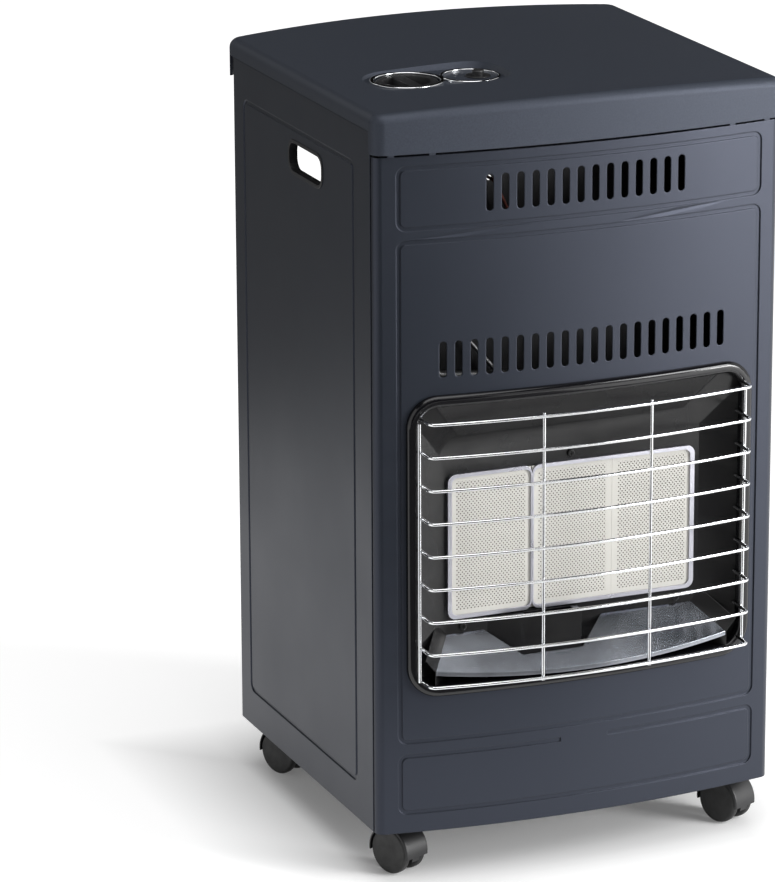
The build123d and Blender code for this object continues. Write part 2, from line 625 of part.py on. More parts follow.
def gas_manifold():
    """Bar that feeds the injectors, held off the heat shield by two lugs."""
    low = BOTTOM + MANIFOLD_LOW
    rail = bar(*MANIFOLD, VENTURI_Y - 7, VENTURI_Y + 7, low, low + 13)
    manifold = fillet(rail.edges().filter_by(Axis.X), 2)
    for x in (-95, 49):
        manifold += bar(x - 7, x + 7, VENTURI_Y, SHIELD_Y, low + 2, low + 11)
    return manifold


def injector(x):
    """Brass jet: a hexagon with a nose that points up the mixing tube."""
    low = BOTTOM + MANIFOLD_LOW + 13
    jet = Pos(x, VENTURI_Y, low) * extrude(RegularPolygon(6, 6), 6)
    jet += post(x, VENTURI_Y, low + 6, low + 12, 3.5)
    return jet - post(x, VENTURI_Y, low + 8, low + 13, 1.2)


def tray_height(y):
    """Height of the sloping tray at a depth."""
    return BOTTOM + TRAY_TOP - TRAY_SLOPE * (LINER_BACK - y)


def tray_layer(top, thick):
    """A sloping slab across the firebox, parallel to the tray."""
    near, far = -60, LINER_BACK
    side = make_face(Polyline(
        (near, tray_height(near) + top), (far, tray_height(far) + top),
        (far, tray_height(far) + top - thick), (near, tray_height(near) + top - thick), close=True,
    ))
    return extrude(Plane.YZ * side, 170, both=True)


def reflector_tray():
    """Polished sheet that falls from the burners to its bowed front edge, notched for the pilot."""
    end, end_y = TRAY_CORNER
    plan = extrude(make_face([
        ThreePointArc((-end, end_y), (0, end_y - TRAY_BOW), (end, end_y)),
        Polyline(
            (end, end_y), (TRAY_TOP_HALF, LINER_BACK), (-TRAY_TOP_HALF, LINER_BACK), (-end, end_y)
        ),
    ]), BOTTOM + TRAY_TOP + 1)
    edge = plan - Pos(0, TRAY_SHEET, 0) * plan
    tray = (plan & tray_layer(0, TRAY_SHEET)) + (edge & tray_layer(0, TRAY_FOLD))
    high = BOTTOM + TRAY_TOP
    notch = Polyline(
        (TRAY_NOTCH[0], high + 1), (TRAY_NOTCH[1], BOTTOM + TRAY_NOTCH_LOW),
        (TRAY_NOTCH[2], BOTTOM + TRAY_NOTCH_LOW), (TRAY_NOTCH[3], high + 1), close=True,
    )
    return tray - wall_prism(make_face(notch), -60, LINER_BACK + 1)


def tray_end(side):
    """Black sheet that carries one end of the tray: a web on the firebox floor, and a wing."""
    foot, top = BOTTOM + TRAY_TOP - 45, BOTTOM + TRAY_TOP
    out, rise = TRAY_WING
    x = TRAY_TOP_HALF
    profile = Plane.XZ * make_face(Polyline(
        (x, foot), (x, top), (x + out, top + rise), (x + out + SHEET, top + rise),
        (x + SHEET, top - 0.5), (x + SHEET, foot), close=True,
    ))
    run = Vector(TRAY_CORNER[0] - x, TRAY_CORNER[1] - LINER_BACK, 0)
    run += Vector(0, 0, TRAY_SLOPE * run.Y)
    end = extrude(Pos(0, LINER_BACK, 0) * profile, run.length, dir=run) & fire_space()
    return end if side > 0 else mirror(end, Plane.YZ)


def pilot_shield():
    """Folded black box round the pilot, with one slanting side and an open rear."""
    plan = make_face(Polyline(*PILOT_PLAN, close=True))
    high = BOTTOM + PILOT_TOP
    box = Pos(0, 0, FIRE_FLOOR) * extrude(plan, high - FIRE_FLOOR)
    inside = offset(plan, -SHEET)
    box -= Pos(0, 0, FIRE_FLOOR - 1) * extrude(inside, high - FIRE_FLOOR + 1 - SHEET)
    left, right = PILOT_PLAN[3][0] + 14, PILOT_PLAN[1][0] - 3
    box -= bar(left, right, LINER_BACK - 3, LINER_BACK + 1, FIRE_FLOOR - 1, high - 6)
    # slot in the roof lets the pilot flame reach the plaques
    return box - bar(-50, -2, -5, 4, high - 2, high + 1)


def pilot_burner():
    """Pilot with its oxygen-sensing head, on a foot that stands on the firebox floor."""
    low = FIRE_FLOOR
    pilot = bar(-44, -8, -1, 5, low, low + 1.5)
    pilot += bar(-30, -22, -1, 5, low, low + 20)
    pilot += post(PILOT_AT[0], PILOT_AT[1], low + 20, low + 34, 3.5)
    pilot += bar(-44, -8, -0.5, 4.5, low + 12, low + 15)
    for x in PROBES:
        pilot -= post(x, PILOT_AT[1], low + 11, low + 16, PROBE_RADIUS)
    return pilot


def pilot_probe(x):
    """Slim upright pin clamped in the pilot's cross bar."""
    return post(x, PILOT_AT[1], FIRE_FLOOR + 9, FIRE_FLOOR + 42, PROBE_RADIUS)


# ---- guard ------------------------------------------------------------------------------------------
def guard_wire(z):
    """One bowed wire with its two legs, which go back to the window surround."""
    crest = GUARD_END_Y - GUARD_SAG
    radius = (GUARD_HALF**2 + GUARD_SAG**2) / (2 * GUARD_SAG)
    middle = crest + radius
    # the bend touches the leg and the bow
    bend_x = GUARD_HALF - GUARD_BEND
    bend_y = middle - sqrt((radius - GUARD_BEND) ** 2 - bend_x**2)
    turn = atan2(bend_y - middle, bend_x)
    joint = (radius * cos(turn), middle + radius * sin(turn))
    knee = (bend_x + GUARD_BEND * cos(turn / 2), bend_y + GUARD_BEND * sin(turn / 2))

    def left(point):
        return (-point[0], point[1])

    foot, start = (GUARD_HALF, GUARD_LEG_END), (GUARD_HALF, bend_y)
    route = Wire([
        Line(foot, start),
        ThreePointArc(start, knee, joint),
        ThreePointArc(joint, (0, crest), left(joint)),
        ThreePointArc(left(joint), left(knee), left(start)),
        Line(left(start), left(foot)),
    ])
    section = Plane(origin=(*foot, 0), z_dir=(0, -1, 0)) * Circle(WIRE)
    return Pos(0, 0, z) * sweep(section, path=route)


def guard_grille():
    """Welded wire guard: nine bowed wires, two end uprights and two uprights behind the bow."""
    low = BOTTOM + GUARD_LOW
    high = low + (GUARD_WIRES - 1) * GUARD_PITCH
    guard = guard_wire(low)
    for i in range(1, GUARD_WIRES):
        guard += guard_wire(low + i * GUARD_PITCH)
    crest = GUARD_END_Y - GUARD_SAG
    radius = (GUARD_HALF**2 + GUARD_SAG**2) / (2 * GUARD_SAG)
    inner_y = crest + radius - sqrt(radius**2 - GUARD_INNER_POST**2) + 1.8 * WIRE
    for side in (-1, 1):
        guard += post(side * GUARD_INNER_POST, inner_y, low - 3, high + 3, WIRE)
        guard += post(side * GUARD_POST, GUARD_POST_Y, low, high - 3.5, WIRE)
    return guard


# ---- gas line and controls -------------------------------------------------------------------------
def control_bracket():
    """Folded plate over the heat shield that carries the gas valve; one edge is on the side."""
    low = BOTTOM + BRACKET_LOW
    inner = -HALF + SHEET
    plate = bar(inner, -18, 47, 150, low, low + 1.5)
    plate += bar(inner, inner + 1.5, SHIELD_Y + 17, 150, low - 15, low)
    plate += bar(inner, -18, 148.5, 150, low - 10, low)
    plate -= post(*KNOB_AT, low - 1, low + 2, GLAND_RADIUS + 1)
    plate -= post(*BUTTON_AT, low - 1, low + 2, IGNITER_RADIUS + 3)
    for x, y in VALVE_SCREWS:
        plate -= post(x, y, low - 1, low + 2, 2.2)
    return plate


def gas_valve():
    """Cast valve with a gland for the spindle, two burner outlets, a pilot outlet and an inlet."""
    high = BOTTOM + BRACKET_LOW
    x, y = KNOB_AT
    body = bar(x - 37, x + 33, y - 18, y + 18, high - 40, high - 5)
    body = fillet(body.edges().filter_by(Axis.Z), 6)
    body += bar(x - 26, x + 26, y - 26, y + 26, high - 6, high)
    body += post(x, y, high - 1, high + GLAND, GLAND_RADIUS)
    for px, radius in OUTLETS:
        outlet = Pos(px, y - 24, BOTTOM + PIPE_Z) * Rot(90, 0, 0)
        body += outlet * Cylinder(radius + 2.5, 14)
        body -= outlet * Cylinder(radius, 20)
    inlet = Pos(x, y + 24, BOTTOM + PIPE_Z) * Rot(90, 0, 0)
    body += inlet * Cylinder(8, 14)
    body -= inlet * Cylinder(5, 14.1)
    body -= post(x, y, high - 32, high + GLAND + 1, SPINDLE_RADIUS + RUNNING)
    for sx, sy in VALVE_SCREWS:
        body -= post(sx, sy, high - 5, high + 1, 1.6)
    return body


def gas_inlet_nozzle():
    """Brass hose tail, screwed into the rear of the valve: an elbow, a clamp land and two barbs."""
    x, y = KNOB_AT
    elbow = Pos(x, y + ELBOW_Y, BOTTOM + PIPE_Z)
    stub = ELBOW_Y - 17
    root = elbow * Rot(90, 0, 0)
    way = elbow * Rot(-90 - TAIL_DROP, 0, 0)
    base = (Align.CENTER, Align.CENTER, Align.MIN)
    barbs = TAIL_START + TAIL_LAND
    profile = Polyline(
        (0, 0), (TAIL_RADIUS, 0), (TAIL_RADIUS, barbs), (4, barbs), (4.7, barbs + 5), (4, barbs + 5),
        (4.7, barbs + 10), (3.6, barbs + 13), (0, barbs + 13), close=True,
    )
    nozzle = root * Cylinder(5, stub, align=base)
    nozzle += root * Cylinder(7, ELBOW_Y - 31, align=base)
    nozzle += elbow * Sphere(ELBOW_RADIUS)
    nozzle += way * revolve(Plane.XZ * make_face(profile), Axis.Z)
    nozzle -= root * Cylinder(2.2, stub + 1, align=base)
    return nozzle - way * Cylinder(2.2, barbs + 14, align=base)


def valve_spindle():
    """Brass spindle with a collar that pushes the sleeve, and a flat for the knob."""
    high = BOTTOM + BRACKET_LOW
    spindle = post(*KNOB_AT, high - 26, KNOB_TOP - 5, SPINDLE_RADIUS)
    spindle += post(*KNOB_AT, high + SLEEVE[1], high + SLEEVE[1] + 2, 5)
    x, y = KNOB_AT
    flat = bar(x - 4, x + 4, y + 1.8, y + 4, KNOB_LOW + 1, KNOB_TOP)
    return spindle - flat


def press_sleeve():
    """Steel sleeve under the spindle's collar; it goes down with the knob but does not turn."""
    high = BOTTOM + BRACKET_LOW
    sleeve = post(*KNOB_AT, high + SLEEVE[0], high + SLEEVE[1], 6.5)
    return sleeve - post(*KNOB_AT, high, high + 20, SPINDLE_RADIUS + RUNNING)


def valve_spring():
    """Return spring between the gland and the sleeve."""
    high = BOTTOM + BRACKET_LOW
    length = SLEEVE[0] - GLAND - 1
    coil = Helix(pitch=length / 3, height=length, radius=5, center=(*KNOB_AT, high + GLAND + 0.5))
    section = Plane(origin=coil @ 0, z_dir=coil % 0) * Circle(0.5)
    return sweep(section, path=coil, is_frenet=True)


def control_knob():
    """Round knob with two finger scoops that leave a straight grip across its middle."""
    x, y = KNOB_AT
    knob = post(x, y, KNOB_LOW, KNOB_TOP, KNOB_RADIUS)
    knob = fillet(knob.faces().sort_by(Axis.Z)[-1].edges(), 2)
    floor = KNOB_LOW + 4
    scoop = extrude(Circle(SCOOP_RADIUS) - Rectangle(KNOB_GRIP, 90), 30, taper=-8)
    knob -= Pos(x, y, floor) * scoop
    knob -= post(x, y, KNOB_LOW - 1, KNOB_LOW + 2.5, KNOB_RADIUS - 2.5) - post(
        x, y, KNOB_LOW - 2, KNOB_LOW + 3, 6
    )
    stem = post(x, y, KNOB_LOW - 2, KNOB_TOP - 5, SPINDLE_RADIUS)
    stem -= bar(x - 4, x + 4, y + 1.8, y + 4, KNOB_LOW + 1, KNOB_TOP)
    return knob - stem


def control_bezel():
    """Chromed figure-eight rim: a ring round the knob's well and one round the spark button."""
    rim = Pos(*KNOB_AT) * Circle(KNOB_RING) + Pos(*DISH_AT) * Circle(DISH_RING)
    rim -= Pos(*KNOB_AT) * Circle(WELL_RADIUS)
    rim -= Pos(*DISH_AT) * Circle(DISH_RING - RING_WIDTH) - Pos(*KNOB_AT) * Circle(KNOB_RING)
    bezel = Pos(0, 0, CONTROL_Z) * extrude(rim, BEZEL_HEIGHT)
    return fillet(bezel.faces().sort_by(Axis.Z)[-1].edges(), 1.0)


def igniter_body():
    """Piezo spark generator: flanged body held under the lid by a round nut."""
    body = post(*BUTTON_AT, BOTTOM + IGNITER_LOW, CONTROL_Z, IGNITER_RADIUS)
    body += post(*BUTTON_AT, CONTROL_Z, CONTROL_Z + 1.2, IGNITER_RADIUS + 2.5)
    body += post(*BUTTON_AT, CONTROL_Z - 12, CONTROL_Z - 8, IGNITER_RADIUS + 4)
    return body - post(*BUTTON_AT, CONTROL_Z - 28, CONTROL_Z + 2, BUTTON_RADIUS + RUNNING)


def igniter_button():
    """Spark button: a short sprung plunger with a domed top."""
    button = post(*BUTTON_AT, CONTROL_Z - 18, CONTROL_Z + 6.4, BUTTON_RADIUS)
    return fillet(button.faces().sort_by(Axis.Z)[-1].edges(), 1.5)


# ---- casters ----------------------------------------------------------------------------------------
def trailing(name):
    """Location of a caster, with its X axis along the direction in which the wheels trail."""
    x, y = CASTERS[name]
    return Pos(x, y, 0) * Rot(0, 0, TRAIL_ANGLE)


def caster_hood(name):
    """Swivelling plastic fork: fender over both wheels, middle web with hub, and the stem."""
    axle = Pos(TRAIL, 0, WHEEL_RADIUS) * Rot(90, 0, 0)
    web = 2 * (WHEEL_GAP - 1)
    below = bar(-20, 60, -30, 30, -10, HOOD_LOW)
    shell = Cylinder(HOOD_RADIUS, HOOD_WIDTH)
    shell = fillet(shell.edges(), 2)
    fender = axle * (shell - Cylinder(HOOD_INNER, 50)) - below
    # the stem's boss, cleared for the wheels on both sides of the web
    boss = Pos(0, 0, (38 + HOOD_TOP) / 2) * Cylinder(12, HOOD_TOP - 38)
    boss += bar(-4, TRAIL, -web / 2, web / 2, WHEEL_RADIUS - 8, 40)
    boss -= axle * (Cylinder(HOOD_INNER, 50) - Cylinder(HOOD_INNER, web))
    hood = fender + boss
    hood += axle * Cylinder(HOOD_INNER + 0.5, web) - bar(-20, 60, -30, 30, -10, WHEEL_RADIUS - 8)
    hood += axle * Cylinder(7, 2 * WHEEL_GAP - 0.6)
    hood += post(0, 0, HOOD_TOP - 2, 74, STEM_RADIUS)
    hood -= axle * Cylinder(AXLE_RADIUS + RUNNING, 60)
    return trailing(name) * hood


def caster_wheels(name):
    """Two plain wheels on one axle, with rounded treads."""
    axle = Pos(TRAIL, 0, WHEEL_RADIUS) * Rot(90, 0, 0)
    middle = WHEEL_GAP + WHEEL_WIDTH / 2
    wheels = Cylinder(AXLE_RADIUS, 2 * middle)
    for side in (-1, 1):
        wheel = Pos(0, 0, side * middle) * Cylinder(WHEEL_RADIUS, WHEEL_WIDTH)
        wheels += fillet(wheel.edges(), 3)
    return trailing(name) * axle * wheels


def caster_sockets():
    """Flanged inserts pressed into the floor of the cabinet, one for each stem."""
    sockets = Part()
    for x, y in CASTERS.values():
        socket = post(x, y, BOTTOM - 1.8, BOTTOM + SHEET, 13)
        socket += post(x, y, BOTTOM, 76, SOCKET_RADIUS - 0.05)
        socket -= post(x, y, BOTTOM - 4, 77, STEM_RADIUS + RUNNING)
        sockets += socket
    return sockets


def pan_heads(places, facing, radius=3.6):
    """Pan-head screws, one solid each; facing turns the head from +Z."""
    screws = []
    for x, y, z in places:
        head = Cylinder(radius, 2.4, align=(Align.CENTER, Align.CENTER, Align.MIN))
        head = fillet(head.faces().sort_by(Axis.Z)[-1].edges(), 1)
        for turn in (0, 90):
            head -= Pos(0, 0, 2.4) * Rot(0, 0, turn) * Box(4, 0.9, 2)
        screws.append(Pos(x, y, z) * facing * head)
    return Compound(children=screws)


keep("front_panel", front_panel())
for side, word in ((-1, "left"), (1, "right")):
    keep(f"side_panel_{word}", side_panel(side))
    keep(f"hand_grip_{word}", hand_grip(side))
    keep(f"tray_end_{word}", tray_end(side))
keep("base_plate", base_plate())
keep("heat_shield", heat_shield())
keep("rear_rail", rear_rail())
keep("rear_cover", rear_cover())
keep("top_cover", top_cover())
keep("window_surround", window_surround())
keep("firebox_liner", firebox_liner())
for span, word in zip(PLAQUE_SPANS, ("left", "middle", "right")):
    keep(f"plaque_{word}", plaque(span))
keep("burner_rim_left", burner_rim(*LEFT_RIM, PLAQUE_SPANS[:1]))
keep("burner_rim_right", burner_rim(*DOUBLE_RIM, PLAQUE_SPANS[1:]))
keep("burner_body", burner_body())
for x, word in zip(VENTURI_X, ("left", "right")):
    keep(f"mixing_tube_{word}", venturi(x))
keep("gas_manifold", gas_manifold())
keep("injectors", Compound(children=[injector(x) for x in VENTURI_X]))
keep("reflector_tray", reflector_tray())
keep("pilot_shield", pilot_shield())
keep("pilot_burner", pilot_burner())
keep("thermocouple", pilot_probe(PROBES[0]))
keep("spark_electrode", pilot_probe(PROBES[1]))
keep("guard_grille", guard_grille())
keep("control_bracket", control_bracket())
keep("gas_valve", gas_valve())
keep("gas_inlet_nozzle", gas_inlet_nozzle())
keep("valve_spindle", valve_spindle())
keep("press_sleeve", press_sleeve())
keep("valve_spring", valve_spring())
keep("control_knob", control_knob())
keep("control_bezel", control_bezel())
keep("igniter_body", igniter_body())
keep("igniter_button", igniter_button())
for word, points, radius, bend in PIPES:
    keep(word, tube([(x, y, z + BOTTOM) for x, y, z in points], bend, radius))
keep("caster_sockets", caster_sockets())
for name in CASTERS:
    keep(f"caster_hood_{name}", caster_hood(name))
    keep(f"caster_wheels_{name}", caster_wheels(name))
keep("firebox_screws", pan_heads(FIREBOX_SCREWS, Rot(90, 0, 0)))
keep("rail_screws", pan_heads(RAIL_SCREWS, Rot(-90, 0, 0)))
keep("valve_screws", pan_heads(VALVE_SCREW_SEATS, Rot(0, 0, 0), 3.2))

os.makedirs("parts", exist_ok=True)
for name, shape in PARTS.items():
    export_step(shape, f"parts/{name}.step")
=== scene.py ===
import bpy
from math import atan2, pi, radians, sqrt
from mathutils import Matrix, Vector


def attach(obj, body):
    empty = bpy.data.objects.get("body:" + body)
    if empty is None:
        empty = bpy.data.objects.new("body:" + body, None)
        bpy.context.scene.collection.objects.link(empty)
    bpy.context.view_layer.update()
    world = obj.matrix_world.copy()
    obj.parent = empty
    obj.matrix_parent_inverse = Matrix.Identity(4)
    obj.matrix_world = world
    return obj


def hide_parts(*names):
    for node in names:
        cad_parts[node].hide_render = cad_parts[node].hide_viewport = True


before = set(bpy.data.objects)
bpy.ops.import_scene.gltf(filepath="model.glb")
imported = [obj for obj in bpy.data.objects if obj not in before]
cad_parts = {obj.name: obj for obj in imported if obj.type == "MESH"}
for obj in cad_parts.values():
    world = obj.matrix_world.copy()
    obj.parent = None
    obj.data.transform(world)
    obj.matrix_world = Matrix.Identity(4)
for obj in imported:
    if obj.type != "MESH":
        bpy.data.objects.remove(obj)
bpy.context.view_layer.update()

# ---- camera ------------------------------------------------------------------------------
# A long lens stands four and a half metres off the left front corner of the heater, a little
# above its lid, and looks slightly down at it.
camera_data = bpy.data.cameras.new("camera")
camera_data.sensor_width = 36.0
camera_data.lens = 199.24
camera_data.clip_end = 60.0
camera = bpy.data.objects.new("camera", camera_data)
camera.location = (-1.79671, -4.09316, 1.70642)
camera.rotation_euler = (radians(73.3128), radians(0.2596), radians(-22.3398))
bpy.context.scene.collection.objects.link(camera)
bpy.context.scene.camera = camera

# ---- studio ------------------------------------------------------------------------------
# A white floor that runs out of the picture, under a large soft box overhead. The key and a low
# soft box stand on the right. Dark cards keep the white surroundings out of the gloss behind, in
# front, above and low on the left.
bpy.context.scene.view_settings.view_transform = "Standard"


def math_node(tree, operation, *values):
    """A Math node's output; the values are sockets or numbers."""
    node = tree.nodes.new("ShaderNodeMath")
    node.operation = operation
    for socket, value in zip(node.inputs, values):
        if isinstance(value, (int, float)):
            socket.default_value = value
        else:
            tree.links.new(value, socket)
    return node.outputs[0]


def span_node(tree, value, from_low, from_high, to_low, to_high):
    """A Map Range node's output, clamped at both ends."""
    node = tree.nodes.new("ShaderNodeMapRange")
    for socket, number in zip(node.inputs[1:5], (from_low, from_high, to_low, to_high)):
        socket.default_value = number
    tree.links.new(value, node.inputs["Value"])
    return node.outputs["Result"]


def new_material(name):
    """A plain Principled material, with its shader and its tree."""
    material = bpy.data.materials.new(name)
    material.use_nodes = True
    return material, material.node_tree.nodes["Principled BSDF"], material.node_tree


def background_ray(tree):
    """1 for rays that see the background: from the camera, and from metal, gloss and glass."""
    path = tree.nodes.new("ShaderNodeLightPath")
    seen = math_node(tree, "MAXIMUM", path.outputs["Is Camera Ray"], path.outputs["Is Glossy Ray"])
    return math_node(tree, "MAXIMUM", seen, path.outputs["Is Transmission Ray"])


world = bpy.data.worlds.new("studio")
world.use_nodes = True
bpy.context.scene.world = world
sky = world.node_tree.nodes["Background"]
sky.inputs["Color"].default_value = (1.0, 1.0, 1.0, 1.0)
glow = span_node(world.node_tree, background_ray(world.node_tree), 0.0, 1.0, 0.25, 1.0)
world.node_tree.links.new(glow, sky.inputs["Strength"])

bpy.ops.mesh.primitive_plane_add(size=60, location=(0, 0, 0))
floor = bpy.context.active_object
floor.name = "floor"
floor_paint = bpy.data.materials.new("floor")
floor_paint.use_nodes = True
tree = floor_paint.node_tree
tree.nodes.clear()
matt = tree.nodes.new("ShaderNodeBsdfDiffuse")
matt.inputs["Color"].default_value = (0.86, 0.86, 0.86, 1.0)
# the floor glows so that it stays white as the lamps' light falls off; the glow is weaker below and
# around the cabinet, which paints shade under it
place = tree.nodes.new("ShaderNodeTexCoord")
apart = tree.nodes.new("ShaderNodeSeparateXYZ")
tree.links.new(place.outputs["Object"], apart.inputs[0])
aside = math_node(tree, "ABSOLUTE", apart.outputs["X"])
ahead = math_node(tree, "ABSOLUTE", apart.outputs["Y"])
reach = math_node(tree, "MAXIMUM", aside, ahead)
lift = tree.nodes.new("ShaderNodeEmission")
near_glow_painted_shade = span_node(tree, reach, 0.18, 0.32, 0.12, 0.55)
strength = math_node(tree, "ADD", near_glow_painted_shade, span_node(tree, reach, 0.6, 3.0, 0.0, 0.25))
tree.links.new(math_node(tree, "MULTIPLY", background_ray(tree), strength), lift.inputs["Strength"])
both = tree.nodes.new("ShaderNodeAddShader")
tree.links.new(matt.outputs[0], both.inputs[0])
tree.links.new(lift.outputs[0], both.inputs[1])
tree.links.new(both.outputs[0], tree.nodes.new("ShaderNodeOutputMaterial").inputs[0])
floor.data.materials.append(floor_paint)


def soft_box(name, place, aim, size, power):
    """A rectangular area lamp that looks at a point."""
    data = bpy.data.lights.new(name, "AREA")
    data.shape = "RECTANGLE"
    data.size, data.size_y = size
    data.energy = power
    lamp = bpy.data.objects.new(name, data)
    lamp.location = place
    lamp.rotation_euler = (Vector(aim) - Vector(place)).to_track_quat("-Z", "Y").to_euler()
    bpy.context.scene.collection.objects.link(lamp)


soft_box("top_lamp", (-0.3, -0.9, 2.9), (0, 0, 0.3), (2.2, 2.2), 42)
soft_box("key_lamp", (2.3, -2.5, 2.4), (0, 0, 0.35), (1.4, 1.4), 80)
soft_box("front_lamp", (2.3, -2.3, 0.8), (0, 0, 0.4), (0.9, 0.9), 78)

flag_black, shader, tree = new_material("flag_black")
shader.inputs["Base Color"].default_value = (0.004, 0.004, 0.004, 1.0)
shader.inputs["Roughness"].default_value = 1.0
shader.inputs["Specular IOR Level"].default_value = 0.0
# flag_grey is dark but glows faintly where only gloss sees it: a painted dim reflection low on the
# left
flag_grey, shader, tree = new_material("flag_grey")
shader.inputs["Base Color"].default_value = (0.004, 0.004, 0.004, 1.0)
shader.inputs["Emission Color"].default_value = (1.0, 1.0, 1.0, 1.0)
shader.inputs["Emission Strength"].default_value = 0.13


def flag(name, place, aim, width, height, material=flag_black):
    """A dark card that only gloss sees; it keeps the white surroundings out of a dark side."""
    bpy.ops.mesh.primitive_plane_add(size=1, location=place)
    card = bpy.context.active_object
    card.name = name
    card.rotation_euler = (Vector(aim) - Vector(place)).to_track_quat("Z", "Y").to_euler()
    card.scale = (width, height, 1)
    card.data.materials.append(material)
    card.visible_camera = False
    card.visible_diffuse = False
    card.visible_shadow = False


flag("flag_rear_left", (-0.68, 1.15, 0.6), (0, 0, 0.6), 3.0, 1.2, flag_grey)
flag("flag_rear_right", (0.9, 2.1, 1.7), (0, 0, 1.0), 4.0, 1.8)
flag("flag_front", (-0.7, -2.2, 0.8), (-0.1, 0, 0.8), 2.4, 1.6)
flag("flag_sky", (0, -0.5, 3.3), (0, -0.5, 0), 7.0, 7.0)
flag("flag_low", (-0.6, -1.35, 0.005), (-0.6, -1.35, 3), 2.4, 1.5, flag_grey)

# ---- casters -----------------------------------------------------------------------------
# Twin-wheel casters in black nylon: a hood with a steel stem, and two wheels on one axle. The
# stems are clipped into flanged sockets in the floor of the cabinet.


def grain(tree, shader, scale, distance, edge=0.0):
    """Fine noise as bump, with sharp edges rounded; scale is in features per metre."""
    place = tree.nodes.new("ShaderNodeTexCoord")
    noise = tree.nodes.new("ShaderNodeTexNoise")
    noise.inputs["Scale"].default_value = scale
    noise.inputs["Detail"].default_value = 4.0
    bump = tree.nodes.new("ShaderNodeBump")
    bump.inputs["Distance"].default_value = distance
    tree.links.new(place.outputs["Object"], noise.inputs["Vector"])
    tree.links.new(noise.outputs["Fac"], bump.inputs["Height"])
    tree.links.new(bump.outputs["Normal"], shader.inputs["Normal"])
    if edge:
        rounded = tree.nodes.new("ShaderNodeBevel")
        rounded.samples = 6
        rounded.inputs["Radius"].default_value = edge
        tree.links.new(rounded.outputs["Normal"], bump.inputs["Normal"])


def mottle(tree, shader, socket, low, high, scale):
    """Slow variation of a colour or a value between low and high."""
    place = tree.nodes.new("ShaderNodeTexCoord")
    noise = tree.nodes.new("ShaderNodeTexNoise")
    noise.inputs["Scale"].default_value = scale
    noise.inputs["Detail"].default_value = 3.0
    tree.links.new(place.outputs["Object"], noise.inputs["Vector"])
    if isinstance(low, tuple):
        ramp = tree.nodes.new("ShaderNodeValToRGB")
        ramp.color_ramp.elements[0].position = 0.3
        ramp.color_ramp.elements[1].position = 0.7
        ramp.color_ramp.elements[0].color = (*low, 1.0)
        ramp.color_ramp.elements[1].color = (*high, 1.0)
        tree.links.new(noise.outputs["Fac"], ramp.inputs["Fac"])
        tree.links.new(ramp.outputs["Color"], shader.inputs[socket])
    else:
        result = span_node(tree, noise.outputs["Fac"], 0.3, 0.7, low, high)
        tree.links.new(result, shader.inputs[socket])


def true_bow(mesh, centre):
    """Gives the faces of a bowed front the normals of the bow that they are cut from."""
    nearly_along = 0.98                      # cosine between a face and the bow
    normals = [corner.vector.copy() for corner in mesh.corner_normals]
    for face in mesh.polygons:
        for corner in face.loop_indices:
            point = mesh.vertices[mesh.loops[corner].vertex_index].co
            out = Vector((point.x, point.y - centre, 0)).normalized()
            if out.dot(face.normal) > nearly_along:
                normals[corner] = out
    mesh.normals_split_custom_set(normals)


WELD = 0.000002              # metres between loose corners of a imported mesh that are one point
FLAT = radians(0.05)         # faces that differ by less are joined
SHARP = radians(38)          # edges that turn by more are rounded over


def finished(node, body, material, edge, turns=2, bow=None):
    """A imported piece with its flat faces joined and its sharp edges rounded, ready to be seen."""
    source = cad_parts[node]
    piece = bpy.data.objects.new(node + "_finished", source.data.copy())
    bpy.context.scene.collection.objects.link(piece)
    bpy.ops.object.select_all(action="DESELECT")
    piece.select_set(True)
    bpy.context.view_layer.objects.active = piece
    bpy.ops.object.mode_set(mode="EDIT")
    bpy.ops.mesh.select_all(action="SELECT")
    bpy.ops.mesh.remove_doubles(threshold=WELD)
    bpy.ops.mesh.dissolve_limited(angle_limit=FLAT)
    bpy.ops.object.mode_set(mode="OBJECT")
    round_over = piece.modifiers.new("round_over", "BEVEL")
    round_over.width = edge
    round_over.segments = turns
    round_over.limit_method = "ANGLE"
    round_over.angle_limit = SHARP
    bpy.ops.object.modifier_apply(modifier="round_over")
    bpy.ops.object.shade_smooth_by_angle(angle=SHARP)
    weigh = piece.modifiers.new("weigh", "WEIGHTED_NORMAL")
    weigh.keep_sharp = True
    bpy.ops.object.modifier_apply(modifier="weigh")
    if bow:
        true_bow(piece.data, bow)
    piece.data.materials.clear()
    piece.data.materials.append(material)
    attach(piece, body)
    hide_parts(node)
    return piece


def coat(node, material):
    """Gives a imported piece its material."""
    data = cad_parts[node].data
    data.materials.clear()
    data.materials.append(material)


hood_nylon, shader, tree = new_material("hood_nylon")
mottle(tree, shader, "Base Color", (0.010, 0.010, 0.011), (0.016, 0.016, 0.017), 60)
shader.inputs["Roughness"].default_value = 0.42
grain(tree, shader, 1800, 0.00006)

wheel_nylon, shader, tree = new_material("wheel_nylon")
mottle(tree, shader, "Base Color", (0.009, 0.009, 0.009), (0.017, 0.017, 0.017), 90)
mottle(tree, shader, "Roughness", 0.42, 0.62, 140)
grain(tree, shader, 900, 0.00008)

plated_steel, shader, tree = new_material("plated_steel")
shader.inputs["Metallic"].default_value = 1.0
mottle(tree, shader, "Base Color", (0.50, 0.51, 0.52), (0.62, 0.62, 0.61), 40)
mottle(tree, shader, "Roughness", 0.24, 0.38, 70)

for corner in ("front_left", "front_right", "rear_left", "rear_right"):
    finished("caster_hood_" + corner, "swivel_" + corner, hood_nylon, 0.0006)
    finished("caster_wheels_" + corner, "wheels_" + corner, wheel_nylon, 0.0004)
coat("caster_sockets", plated_steel)

